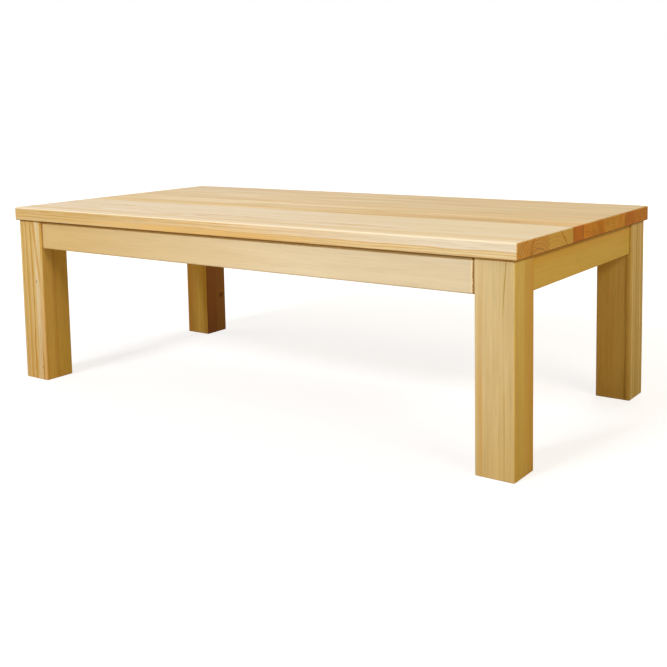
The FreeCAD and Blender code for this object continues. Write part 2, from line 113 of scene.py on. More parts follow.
def pine(node, low, high, grain, timber):
    timber = PLAIN_TIMBER | timber
    material = bpy.data.materials.new(f"lacquered pine of {node}")
    material.use_nodes = True
    tree = material.node_tree
    tree.nodes.clear()
    place = add(tree, "ShaderNodeTexCoord", {}).outputs["Object"]
    to_grain = ALONG.rotation_difference(grain).to_matrix()
    tilt = Euler([math.radians(angle) for angle in timber["lean"]]).to_matrix()
    log = add(tree, "ShaderNodeMapping", {
        "Vector": place,
        "Location": low + Vector(timber["heart"]) * MM,
        "Rotation": (to_grain @ tilt).to_euler(),
        "Scale": (MM, MM, MM),
    }, vector_type="TEXTURE").outputs[0]

    # The heart wanders up the trunk over half a metre or so, and ring edges ripple over a few centimetres
    slow = add(tree, "ShaderNodeVectorMath", {
        0: log, 1: spread(long=450, wide=60)}, operation="MULTIPLY").outputs[0]
    bow = add(tree, "ShaderNodeTexNoise", {"Vector": slow, "Scale": 1.0, "Detail": 2.0}).outputs["Color"]
    about = add(tree, "ShaderNodeVectorMath", {0: bow, 1: (0.5, 0.5, 0.5)}, operation="SUBTRACT").outputs[0]
    moved = add(tree, "ShaderNodeVectorMath", {
        0: about, 1: (0, WANDER, WANDER), 2: log}, operation="MULTIPLY_ADD").outputs[0]
    across = add(tree, "ShaderNodeVectorMath", {0: moved, 1: (0, 1, 1)}, operation="MULTIPLY").outputs[0]
    radius = add(tree, "ShaderNodeVectorMath", {0: across}, operation="LENGTH").outputs["Value"]
    quick = add(tree, "ShaderNodeVectorMath", {
        0: log, 1: spread(long=90, wide=9)}, operation="MULTIPLY").outputs[0]
    ripple = add(tree, "ShaderNodeTexNoise", {"Vector": quick, "Scale": 1.0, "Detail": 2.0}).outputs["Fac"]
    rippled = add(tree, "ShaderNodeMath", {
        0: ripple, 1: timber["ripple"], 2: radius}, operation="MULTIPLY_ADD").outputs[0]

    # Rings differ in width and in how dark their summer wood is
    even_years = add(tree, "ShaderNodeMath", {
        0: rippled, 1: 1 / timber["ring"]}, operation="MULTIPLY").outputs[0]
    weather = add(tree, "ShaderNodeTexNoise", {
        "W": even_years, "Scale": WEATHER_TURN, "Detail": 1.0}, noise_dimensions="1D").outputs["Fac"]
    years = add(tree, "ShaderNodeMath", {
        0: weather, 1: WEATHER_YEARS, 2: even_years}, operation="MULTIPLY_ADD").outputs[0]
    season = add(tree, "ShaderNodeMath", {0: years}, operation="FRACT").outputs[0]
    year = add(tree, "ShaderNodeMath", {0: years}, operation="FLOOR").outputs[0]
    luck = add(tree, "ShaderNodeTexWhiteNoise", {"W": year}, noise_dimensions="1D").outputs["Value"]
    ramp = add(tree, "ShaderNodeValToRGB", {"Fac": season})
    stops = ramp.color_ramp.elements
    stops[0].color = (YEAR_TURNS, YEAR_TURNS, YEAR_TURNS, 1)
    stops[1].color = (YEAR_TURNS, YEAR_TURNS, YEAR_TURNS, 1)
    for position, level in YEAR_DARKENS:
        stops.new(position).color = (level, level, level, 1)
    darkness = ramp.outputs[0]
    rare = add(tree, "ShaderNodeMath", {0: luck, 1: 2.0}, operation="POWER").outputs[0]
    depth = add(tree, "ShaderNodeMapRange", {
        "Value": rare,
        "To Min": timber["contrast"] * FAINT_YEAR,
        "To Max": timber["contrast"] * DARK_YEAR,
    }).outputs[0]
    late = add(tree, "ShaderNodeMath", {
        0: darkness, 1: depth}, operation="MULTIPLY", use_clamp=True).outputs[0]
    colour = add(tree, "ShaderNodeMix", {
        "Factor": late, "A": linear(timber["spring"]), "B": linear(timber["summer"]),
    }, data_type="RGBA").outputs["Result"]

    # Bands of honey-coloured wood, in most pieces some 40 mm across and most of a metre long
    broad = add(tree, "ShaderNodeVectorMath", {
        0: log, 1: spread(*timber["cloud"])}, operation="MULTIPLY").outputs[0]
    cloud = add(tree, "ShaderNodeTexNoise", {"Vector": broad, "Scale": 1.0, "Detail": 3.0}).outputs["Fac"]
    warmth = add(tree, "ShaderNodeMapRange", {
        "Value": cloud, "From Min": 0.40, "From Max": 0.68, "To Max": timber["warm"]}).outputs[0]
    colour = add(tree, "ShaderNodeMix", {
        "Factor": warmth, "A": colour, "B": linear(timber["honey"])}, data_type="RGBA").outputs["Result"]

    # Fibres and resin ducts are far finer than a pixel, so they are drawn 2.2 mm across and 50 mm long
    fine = add(tree, "ShaderNodeVectorMath", {
        0: moved, 1: spread(long=50, wide=2.2)}, operation="MULTIPLY").outputs[0]
    fibre = add(tree, "ShaderNodeTexNoise", {"Vector": fine, "Scale": 1.0, "Detail": 3.0}).outputs["Fac"]

    # Streaks of other wood or of lacquer at one place across the piece, some on part of its length only
    sway = add(tree, "ShaderNodeMath", {0: ripple, 1: 0.5}, operation="SUBTRACT").outputs[0]
    along = add(tree, "ShaderNodeVectorMath", {
        0: place, 1: grain}, operation="DOT_PRODUCT").outputs["Value"]
    start = grain.dot(low)
    length = grain.dot(high - low)
    for given in timber.get("streaks", ()):
        streak = PLAIN_STREAK | given
        way = Vector(streak["across"]).normalized()
        spot = Vector([near + (far - near) * share for near, far, share in zip(low, high, streak["at"])])
        wide = streak["wide"] * MM
        over = add(tree, "ShaderNodeVectorMath", {
            0: place, 1: way}, operation="DOT_PRODUCT").outputs["Value"]
        off = add(tree, "ShaderNodeMath", {0: over, 1: way.dot(spot)}, operation="SUBTRACT").outputs[0]
        bent = add(tree, "ShaderNodeMath", {
            0: sway, 1: streak["sway"] * MM, 2: off}, operation="MULTIPLY_ADD").outputs[0]
        away = add(tree, "ShaderNodeMath", {0: bent}, operation="ABSOLUTE").outputs[0]
        shown = add(tree, "ShaderNodeMapRange", {
            "Value": away, "From Min": wide, "From Max": wide * (1 - streak["soft"]),
            "To Max": streak["strength"]}, interpolation_type="SMOOTHSTEP").outputs[0]
        broken = add(tree, "ShaderNodeMapRange", {
            "Value": fibre, "From Min": 0.3, "From Max": 0.55, "To Min": streak["whole"]}).outputs[0]
        shown = add(tree, "ShaderNodeMath", {0: shown, 1: broken}, operation="MULTIPLY").outputs[0]
        if "runs" in streak:
            fades, full = [start + length * share for share in streak["runs"]]
            lasting = add(tree, "ShaderNodeMapRange", {
                "Value": along, "From Min": fades, "From Max": full}).outputs[0]
            shown = add(tree, "ShaderNodeMath", {0: shown, 1: lasting}, operation="MULTIPLY").outputs[0]
        colour = add(tree, "ShaderNodeMix", {
            "Factor": shown, "A": colour, "B": linear(streak["colour"]),
        }, data_type="RGBA").outputs["Result"]

    # Pitch pockets and pin knots
    for mark in timber.get("marks", ()):
        spot = Vector([near + (far - near) * share for near, far, share in zip(low, high, mark["at"])])
        inside = add(tree, "ShaderNodeMapping", {
            "Vector": place, "Location": spot, "Scale": Vector(mark["size"]) * MM,
        }, vector_type="TEXTURE").outputs[0]
        reach = add(tree, "ShaderNodeVectorMath", {0: inside}, operation="LENGTH").outputs["Value"]
        ragged = add(tree, "ShaderNodeMath", {
            0: sway, 1: MARK_RAGGED, 2: reach}, operation="MULTIPLY_ADD").outputs[0]
        filled = add(tree, "ShaderNodeMapRange", {
            "Value": ragged, "From Min": 1.0, "From Max": 0.6, "To Max": mark["strength"]}).outputs[0]
        colour = add(tree, "ShaderNodeMix", {
            "Factor": filled, "A": colour, "B": linear(mark["colour"])}, data_type="RGBA").outputs["Result"]

    shade = add(tree, "ShaderNodeMapRange", {
        "Value": fibre, "From Min": 0.26, "From Max": 0.54, "To Min": 1 - timber["fibre"], "To Max": 1.02,
    }, interpolation_type="SMOOTHSTEP").outputs[0]
    fibred = add(tree, "ShaderNodeVectorMath", {0: colour, "Scale": shade}, operation="SCALE").outputs[0]

    # Fibres that dip and rise through a planed face take up more or less lacquer, so it looks mottled
    if "mottle" in timber:
        patch = add(tree, "ShaderNodeVectorMath", {
            0: log, 1: spread(long=280, wide=20)}, operation="MULTIPLY").outputs[0]
        play = add(tree, "ShaderNodeTexNoise", {
            "Vector": patch, "Scale": 1.0, "Detail": 2.0, "Distortion": 0.5}).outputs["Fac"]
        taken = add(tree, "ShaderNodeMapRange", {
            "Value": play, "From Min": 0.25, "From Max": 0.75}).outputs[0]
        swing = MOTTLE_TINT * timber["mottle"]
        even = Vector((1, 1, 1))
        tint = add(tree, "ShaderNodeMix", {
            "Factor": taken, "A": (*(even - swing), 1), "B": (*(even + swing), 1),
        }, data_type="RGBA").outputs["Result"]
        fibred = add(tree, "ShaderNodeVectorMath", {0: fibred, 1: tint}, operation="MULTIPLY").outputs[0]

    # Painted highlight: the long upper arrises are drawn paler, where they catch the lamps
    surface = add(tree, "ShaderNodeNewGeometry", {}).outputs["Normal"]
    rising = add(tree, "ShaderNodeVectorMath", {
        0: surface, 1: UPRIGHT}, operation="DOT_PRODUCT").outputs["Value"]
    if "painted_arris_highlight" in timber:
        leaning = add(tree, "ShaderNodeVectorMath", {
            0: surface, 1: grain.cross(UPRIGHT)}, operation="DOT_PRODUCT").outputs["Value"]
        outward = add(tree, "ShaderNodeMath", {0: leaning}, operation="ABSOLUTE").outputs[0]
        turning = add(tree, "ShaderNodeMath", {0: outward, 1: rising}, operation="MULTIPLY").outputs[0]
        arris_highlight = add(tree, "ShaderNodeMapRange", {
            "Value": turning, "From Min": 0.1, "From Max": 0.4, "To Max": 0.8}).outputs[0]
        fibred = add(tree, "ShaderNodeMix", {
            "Factor": arris_highlight, "A": fibred, "B": linear(timber["painted_arris_highlight"])}, data_type="RGBA").outputs["Result"]

    # Sawn ends drink lacquer, their summer wood in arcs
    facing = add(tree, "ShaderNodeVectorMath", {
        0: surface, 1: grain}, operation="DOT_PRODUCT").outputs["Value"]
    square_on = add(tree, "ShaderNodeMath", {0: facing}, operation="ABSOLUTE").outputs[0]
    end = add(tree, "ShaderNodeMapRange", {
        "Value": square_on, "From Min": 0.55, "From Max": 0.9}).outputs[0]
    thirst = add(tree, "ShaderNodeMapRange", {
        "Value": darkness, "To Min": SPRING_ENDS, "To Max": timber["end_rings"]}).outputs[0]
    drunk = add(tree, "ShaderNodeVectorMath", {0: fibred, "Scale": thirst}, operation="SCALE").outputs[0]
    soak = linear(timber["soak"])[:3]
    soaked = add(tree, "ShaderNodeVectorMath", {0: drunk, 1: soak}, operation="MULTIPLY").outputs[0]
    colour = add(tree, "ShaderNodeMix", {
        "Factor": end, "A": fibred, "B": soaked}, data_type="RGBA").outputs["Result"]

    # Painted shade: the lower arrises, turned down away from the lamps, are drawn darker as a thin line
    # under the edge
    if "painted_under_shade" in timber:
        sinking = add(tree, "ShaderNodeMath", {0: rising, 1: -1.0}, operation="MULTIPLY").outputs[0]
        below = add(tree, "ShaderNodeMapRange", {
            "Value": sinking, "From Min": 0.1, "From Max": 0.3}).outputs[0]
        beside = add(tree, "ShaderNodeMapRange", {
            "Value": sinking, "From Min": 0.99, "From Max": 0.95, "To Max": 0.9}).outputs[0]
        under_shade = add(tree, "ShaderNodeMath", {0: below, 1: beside}, operation="MULTIPLY").outputs[0]
        colour = add(tree, "ShaderNodeMix", {
            "Factor": under_shade, "A": colour, "B": linear(timber["painted_under_shade"]),
        }, data_type="RGBA").outputs["Result"]

    # Satin lacquer is thin enough to follow the fibres, and duller on the ends
    relief = add(tree, "ShaderNodeMath", {
        0: late, 1: RING_RELIEF, 2: fibre}, operation="MULTIPLY_ADD").outputs[0]
    bump = add(tree, "ShaderNodeBump", {
        "Height": relief, "Strength": 0.15, "Distance": RELIEF_HEIGHT}).outputs[0]
    satin = add(tree, "ShaderNodeMapRange", {
        "Value": end, "To Min": SATIN, "To Max": SATIN_ENDS}).outputs[0]
    shader = add(tree, "ShaderNodeBsdfPrincipled", {
        "Base Color": colour, "Roughness": satin, "IOR": 1.5, "Specular IOR Level": 0.07, "Normal": bump})
    add(tree, "ShaderNodeOutputMaterial", {"Surface": shader.outputs[0]})
    return material


# A stick planed square, from its low to its high corner
def plane_stick(low, high):
    shape = bmesh.new()
    bmesh.ops.create_cube(shape, size=1.0)
    bmesh.ops.scale(shape, vec=high - low, verts=shape.verts)
    bmesh.ops.translate(shape, vec=(low + high) / 2, verts=shape.verts)
    shape.normal_update()
    return shape


# Rounds the arrises where two of the named faces meet, or those where the rim meets a named or eased face
def ease(shape, faces, size, steps, rim=None):
    outward = [SIDES[face] for face in faces]
    met = []
    for edge in shape.edges:
        named = [
            any(face.normal.dot(way) > SAME_WAY for way in outward) for face in edge.link_faces]
        if rim is None and all(named):
            met.append(edge)
        elif rim is not None:
            over = [face.normal.dot(SIDES[rim]) > SAME_WAY for face in edge.link_faces]
            beside = [face.smooth or known for face, known in zip(edge.link_faces, named)]
            if any(over) and any(beside) and not all(over):
                met.append(edge)
    eased = bmesh.ops.bevel(
        shape, geom=met, offset=size, affect="EDGES", segments=steps, profile=0.5, material=-1)
    for face in eased["faces"]:
        face.smooth = True
    shape.normal_update()


# Makes the finished shape a piece of the table that stands for its node
def set_in_place(node, shape, material):
    bmesh.ops.recalc_face_normals(shape, faces=shape.faces)
    for edge in shape.edges:
        edge.smooth = edge.calc_face_angle(math.pi) < SHARP_ANGLE
    mesh = bpy.data.meshes.new(f"{node}_wood")
    shape.to_mesh(mesh)
    shape.free()
    mesh.materials.append(material)
    piece = bpy.data.objects.new(f"{node}_wood", mesh)
    bpy.context.scene.collection.objects.link(piece)
    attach(piece, "root")
    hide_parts(node)


# Each leg half's right face has its own colour, darker and more golden than the rest: partly its own wood
# and partly painted shade, as that side faces away from the main lamp, and painted darker still to the foot
LEG_TIMBER = {
    "front_left_leg_front_half": {
        "heart": (56, 42, 0), "lean": (0, -0.8, 0.3), "ring": 5.2, "ripple": 4.0, "contrast": 2.0,
        "spring": "#DFCA98", "summer": "#BC882A", "honey": "#C8A456",
        "right": "#E0BF73", "right_foot_shade": "#DAB964",
        "streaks": [
            {"at": (0.75, 0, 0), "across": (1, 0, 0), "wide": 7.5, "colour": "#E2D4B0", "strength": 0.8,
             "soft": 0.5, "whole": 0.7},
            {"at": (0.63, 0, 1), "across": (1, 0, 0.116), "wide": 5, "colour": "#C6922F", "strength": 0.8,
             "soft": 0.5, "whole": 0.5, "runs": (0.52, 0.68)},
            {"at": (0.93, 0, 0), "across": (1, 0, 0), "wide": 5, "colour": "#D8AE7C", "strength": 0.7,
             "soft": 0.5, "whole": 0.7, "runs": (0.7, 0.4)},
            {"at": (0, 1, 0), "across": (0, 1, 0), "wide": 13, "colour": "#B8803C", "strength": 0.4,
             "soft": 0.9, "whole": 0.8},
            # Painted shade: the front face drawn darker towards the foot
            {"at": (0, 0, 0), "across": (0, 1, 0), "wide": 9, "colour": "#BC8C3C", "strength": 0.4,
             "whole": 0.7, "runs": (0.8, 0.1)},
        ],
        "marks": [
            {"at": (0.70, 0, 0.62), "size": (1.8, 3, 4), "colour": "#8C7C58", "strength": 0.8},
            {"at": (0.82, 0, 0.08), "size": (1.8, 3, 5), "colour": "#8C7C58", "strength": 0.8},
        ],
    },
    "front_left_leg_back_half": {
        "heart": (147, 14, 0), "lean": (0, 0.3, 0.6), "ring": 3.6, "contrast": 0.5,
        "spring": "#DFC68E", "summer": "#B5853A", "honey": "#CFA65C",
        "right": "#DABA66", "right_foot_shade": "#D4B45C",
    },
    "front_right_leg_front_half": {
        "heart": (-168, 21, 0), "lean": (0, 0.25, 0.3), "ring": 3.6, "ripple": 2.0, "contrast": 0.5,
        "fibre": 0.09, "mottle": 0.09,
        "spring": "#DAC79A", "summer": "#B89656", "honey": "#CEB781",
        "right": "#DBC273", "right_foot_shade": "#C7AA50",
        "streaks": [
            {"at": (0.15, 0, 0), "across": (1, 0, 0), "wide": 5, "colour": "#C48E42", "strength": 0.65,
             "whole": 0.2, "runs": (1.1, 0.4)},
            {"at": (0.79, 0, 1), "across": (1, 0, -0.065), "wide": 1.3, "colour": "#A88434",
             "strength": 0.8, "whole": 0.6, "sway": 2, "runs": (0.72, 0.82)},
            {"at": (0.74, 0, 0), "across": (1, 0, 0), "wide": 1.3, "colour": "#A88434", "strength": 0.8,
             "whole": 0.4, "sway": 2, "runs": (0.46, 0.38)},
            # Painted shade: the front face drawn darker towards the foot
            {"at": (0, 0, 0), "across": (0, 1, 0), "wide": 9, "colour": "#C6A662", "strength": 0.6,
             "whole": 0.8, "runs": (0.9, 0.0)},
        ],
    },
    "front_right_leg_back_half": {
        "heart": (-126, -10, 0), "lean": (0, 0.25, 0.3), "ring": 3.8, "contrast": 0.4, "mottle": 0.07,
        "spring": "#DEC894", "summer": "#BC8C44", "honey": "#CCA65C",
        "right": "#D4AC57", "right_foot_shade": "#C19A3F",
        "streaks": [
            {"at": (1, 0, 0), "across": (0, 1, 0), "wide": 26, "colour": "#D0B262", "strength": 0.9,
             "soft": 1.0, "whole": 0.9},
            {"at": (1, 1, 0), "across": (0, 1, 0), "wide": 8, "colour": "#C08238", "strength": 0.6,
             "soft": 0.9, "whole": 0.6, "runs": (0.2, 0.9)},
        ],
    },
    "back_left_leg_front_half": {
        "heart": (14, 66, 0), "lean": (0, 0.3, 0.4), "ring": 5.0, "contrast": 0.35,
        "spring": "#EAC462", "summer": "#BE8A34", "honey": "#D6A846",
        "right": "#A06A3C", "right_foot_shade": "#A06A3C",
        "streaks": [
            # Painted shade: the left part of the front face drawn darker
            {"at": (0, 0, 0), "across": (1, 0, 0), "wide": 52, "colour": "#AC762C", "strength": 0.85,
             "soft": 0.9, "whole": 0.9},
        ],
    },
    "back_left_leg_back_half": {
        "heart": (21, -35, 0), "lean": (0, 0.5, -0.5), "ring": 4.4, "contrast": 0.7,
        "spring": "#DFC07A", "summer": "#B27C34", "honey": "#C89A4A",
        "right": "#A46C3A", "right_foot_shade": "#AE803E",
        "marks": [
            {"at": (1, 0.50, 0.27), "size": (6, 10, 9), "colour": "#70401F", "strength": 0.65},
            {"at": (1, 0.50, 0.305), "size": (6, 10, 3.5), "colour": "#C08A50", "strength": 0.8},
        ],
    },
    "back_right_leg_front_half": {
        "heart": (-63, 28, 0), "lean": (0, 0.4, 0.6), "ring": 4.2, "contrast": 0.4, "fibre": 0.08,
        "mottle": 0.1,
        "spring": "#D2B872", "summer": "#A47630", "honey": "#BC9444",
        "right": "#D0B87D", "right_foot_shade": "#BEA458",
        "streaks": [
            {"at": (0.85, 0, 0), "across": (1, 0, 0), "wide": 3, "colour": "#9C7630", "strength": 0.6,
             "whole": 0.5},
            {"at": (1, 0.25, 0), "across": (0, 1, 0), "wide": 3, "colour": "#E6D6AC", "strength": 0.7,
             "whole": 0.7},
            {"at": (1, 0.85, 0), "across": (0, 1, 0), "wide": 3, "colour": "#A88848", "strength": 0.7,
             "whole": 0.7},
        ],
    },
    "back_right_leg_back_half": {
        "heart": (133, 56, 0), "lean": (0, 0.5, 0.9), "ring": 4.6, "contrast": 0.75,
        "spring": "#DCC68E", "summer": "#B8863E", "honey": "#CCA458",
        "right": "#CCB274", "right_foot_shade": "#BAA054",
        "streaks": [
            {"at": (1, 0.45, 0), "across": (0, 1, 0), "wide": 3, "colour": "#E4D2A4", "strength": 0.6,
             "whole": 0.7},
        ],
    },
}
for node, timber in LEG_TIMBER.items():
    low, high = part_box(node)
    outer = "front" if node.endswith("front_half") else "back"
    shape = plane_stick(low, high)
    ease(shape, ("left", "right", outer), LEG_ARRIS, ARRIS_STEPS)
    ease(shape, ("left", "right", outer), FOOT_CHAMFER, 1, rim="under")
    # Painted shade on the right face, partly its own wood, and deeper towards the foot
    right_tone_and_shade = {
        "at": (1, 0, 0), "across": (1, 0, 0), "wide": 2.5, "colour": timber["right"], "strength": 0.9,
        "soft": 0.8, "whole": 0.85, "sway": 0}
    right_foot_shade = right_tone_and_shade | {"colour": timber["right_foot_shade"], "runs": (0.9, 0.0)}
    timber["streaks"] = [right_tone_and_shade, right_foot_shade] + timber.get("streaks", [])
    set_in_place(node, shape, pine(node, low, high, UPRIGHT, timber))

# Aprons: four pine boards on edge between the legs, tenoned into them and set back a little from their
# faces. Their arrises are eased, also at the shoulders, and a groove for the buttons runs along the inside.
# A painted shadow darkens each one's top edge under the top; on the front apron painted shade darkens the
# shoulders where they meet the legs, with a painted highlight beside the right one.
APRON_ARRIS = 3 * MM
GROOVE_DROP = 10 * MM
GROOVE_WIDTH = 8 * MM
GROOVE_DEPTH = 9 * MM
GROOVE_STOP = 12 * MM
THROUGH = Vector((0, 1, 0))
OPPOSITE = {"back": "front", "front": "back", "left": "right", "right": "left"}
# Painted shadow: a thin dark line along the top edge of each apron, where the top overhangs it
SHADOW_UNDER_TOP = {
    "at": (0, 0, 1), "across": (0, 0, 1), "wide": 3.5, "colour": "#6E4410", "strength": 0.6, "soft": 0.3,
    "whole": 1.0, "sway": 0,
}
half_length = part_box("front_right_leg_front_half")[0].x
half_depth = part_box("back_right_leg_front_half")[0].y
APRON_TIMBER = {
    "front_apron": {
        "grain": ALONG, "inside": "back", "heart": (0, -29, 84), "lean": (0, 0.35, 0.4), "ring": 4.2,
        "spring": "#E7D8B8", "summer": "#D6B47A", "contrast": 0.2, "honey": "#E0CDA4", "fibre": 0.05,
        "mottle": 0.05,
        "streaks": [
            {"at": (0, 0, 0), "across": (0, 1, 0), "wide": 12, "colour": "#D2B478", "strength": 0.9,
             "whole": 0.9, "runs": (0.62, 0.08)},
            {"at": (0, 0, 0), "across": (0, 1, 0), "wide": 12, "colour": "#DFD2B6", "strength": 0.8,
             "whole": 0.9, "runs": (0.6, 1.0)},
            # A painted highlight beside the right shoulder, and painted shade in the corners at both
            # shoulders
            {"at": (1, 0, 0), "across": (1, 0, 0), "wide": 8.5, "colour": "#F8E6BE", "strength": 0.7,
             "soft": 0.3, "whole": 1.0},
            {"at": (1, 0, 0), "across": (1, 0, 0), "wide": 5, "colour": "#9A6A24", "strength": 0.9,
             "soft": 0.3, "whole": 1.0},
            {"at": (0, 0, 0), "across": (1, 0, 0), "wide": 5, "colour": "#A87430", "strength": 0.45,
             "soft": 0.3, "whole": 1.0},
        ],
    },
    "back_apron": {
        "grain": ALONG, "inside": "front", "heart": (0, 44, -18), "lean": (0, 0.3, 0.4), "ring": 4.0,
        "spring": "#E6CF9C", "summer": "#CB9A52", "contrast": 0.6, "honey": "#D9B474",
    },
    "left_apron": {
        "grain": THROUGH, "inside": "right", "heart": (-33, 0, 78), "lean": (0, 0.6, 0.5), "ring": 4.2,
        "spring": "#E6CF9C", "summer": "#CB9A52", "contrast": 0.6, "honey": "#D9B474",
    },
    # The right apron is drawn darker and more golden than the front one, mostly painted shade, as it faces
    # away from the main lamp
    "right_apron": {
        "grain": THROUGH, "inside": "left", "heart": (68, 0, 84), "lean": (0, 0.5, 0.5), "ring": 4.4,
        "spring": "#D6BB65", "summer": "#BD8F34", "contrast": 0.1, "honey": "#CCA849", "fibre": 0.03,
        "mottle": 0.05,
        "streaks": [
            {"at": (0, 0, 1), "across": (0, 0, 1), "wide": 30, "colour": "#CE9E3E", "strength": 0.7,
             "soft": 0.9, "whole": 0.8},
        ],
    },
}
for node, timber in APRON_TIMBER.items():
    grain = timber["grain"]
    outside = OPPOSITE[timber["inside"]]
    outward = SIDES[outside]
    low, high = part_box(node)
    if grain is ALONG:
        low.x, high.x = -half_length, half_length
        ends = ("left", "right")
    else:
        low.y, high.y = -half_depth, half_depth
        ends = ("front", "back")
    shape = plane_stick(low, high)
    ease(shape, ("under", timber["inside"], outside) + ends, APRON_ARRIS, ARRIS_STEPS)
    reach = (high - low).dot(grain) / 2 - GROOVE_STOP
    groove_high = high.z - GROOVE_DROP
    groove_low = groove_high - GROOVE_WIDTH
    cuts = [
        (UPRIGHT * groove_high, UPRIGHT),
        (UPRIGHT * groove_low, UPRIGHT),
        (grain * reach, grain),
        (-grain * reach, grain),
    ]
    for point, way in cuts:
        touched = [face for face in shape.faces if face.normal.dot(outward) < -SAME_WAY]
        parts = set(touched)
        for face in touched:
            parts.update(face.edges)
            parts.update(face.verts)
        bmesh.ops.bisect_plane(shape, geom=list(parts), plane_co=point, plane_no=way)
    mouth = [
        face for face in shape.faces
        if face.normal.dot(outward) < -SAME_WAY
        and groove_low < face.calc_center_median().z < groove_high
        and abs(face.calc_center_median().dot(grain)) < reach
    ]
    deepened = bmesh.ops.extrude_face_region(shape, geom=mouth)
    floor_verts = [part for part in deepened["geom"] if isinstance(part, bmesh.types.BMVert)]
    bmesh.ops.translate(shape, vec=outward * GROOVE_DEPTH, verts=floor_verts)
    bmesh.ops.delete(shape, geom=mouth, context="FACES_ONLY")
    timber["streaks"] = timber.get("streaks", []) + [SHADOW_UNDER_TOP]
    set_in_place(node, shape, pine(node, low, high, grain, timber))

# Centre rail and corner blocks: plain pine sticks under the top, planed but less carefully chosen. The rail
# is tenoned into the long aprons, and the blocks are screwed across the corners behind the legs.
INSIDE_TIMBER = {
    "heart": (60, 40, -30), "lean": (0, 0.8, 0.8), "ring": 4.0,
    "spring": "#E6CF9C", "summer": "#C89650", "contrast": 0.7, "honey": "#D9B474",
}
INSIDE_GRAIN = {
    "centre_rail": THROUGH,
    "front_left_corner_block": Vector((-1, 1, 0)).normalized(),
    "back_right_corner_block": Vector((-1, 1, 0)).normalized(),
    "front_right_corner_block": Vector((1, 1, 0)).normalized(),
    "back_left_corner_block": Vector((1, 1, 0)).normalized(),
}


# Gives a node that keeps its own shape its finish
def dress(node, material):
    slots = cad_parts[node].data.materials
    slots.clear()
    slots.append(material)


for node, grain in INSIDE_GRAIN.items():
    dress(node, pine(node, *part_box(node), grain, INSIDE_TIMBER))

# Turn buttons: small rebated blocks of pine, whose tongues sit in the aprons' grooves and which pull the
# top down while it can still swell and shrink.
BUTTON_TIMBER = {
    "heart": (0, 0, -30), "lean": (0, 1.0, 1.0), "ring": 3.4,
    "spring": "#E3CA94", "summer": "#C08C46", "contrast": 0.8, "honey": "#D2A866",
}
BUTTON_GRAIN = {"front": THROUGH, "back": THROUGH, "left": ALONG, "right": ALONG}
for side, grain in BUTTON_GRAIN.items():
    node = f"{side}_buttons"
    dress(node, pine(node, *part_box(node), grain, BUTTON_TIMBER))

# Pan-head wood screws of steel, zinc-plated by tumbling: a cool, slightly cloudy grey with a faint yellow
# cast, driven through the blocks, the buttons and the rail.
CLOUD_SIZE = 2 * MM
zinc = bpy.data.materials.new("zinc-plated steel")
zinc.use_nodes = True
tree = zinc.node_tree
tree.nodes.clear()
place = add(tree, "ShaderNodeTexCoord", {}).outputs["Object"]
cloudy = add(tree, "ShaderNodeTexNoise", {
    "Vector": place, "Scale": 1 / CLOUD_SIZE, "Detail": 3.0}).outputs["Fac"]
plated = add(tree, "ShaderNodeMix", {
    "Factor": cloudy, "A": linear("#B9BABB"), "B": linear("#C9C3B4")}, data_type="RGBA").outputs["Result"]
dulled = add(tree, "ShaderNodeMapRange", {"Value": cloudy, "To Min": 0.26, "To Max": 0.44}).outputs[0]
shader = add(tree, "ShaderNodeBsdfPrincipled", {"Base Color": plated, "Roughness": dulled, "Metallic": 1.0})
add(tree, "ShaderNodeOutputMaterial", {"Surface": shader.outputs[0]})
for node in ("corner_block_screws", "button_screws", "rail_screws"):
    dress(node, zinc)

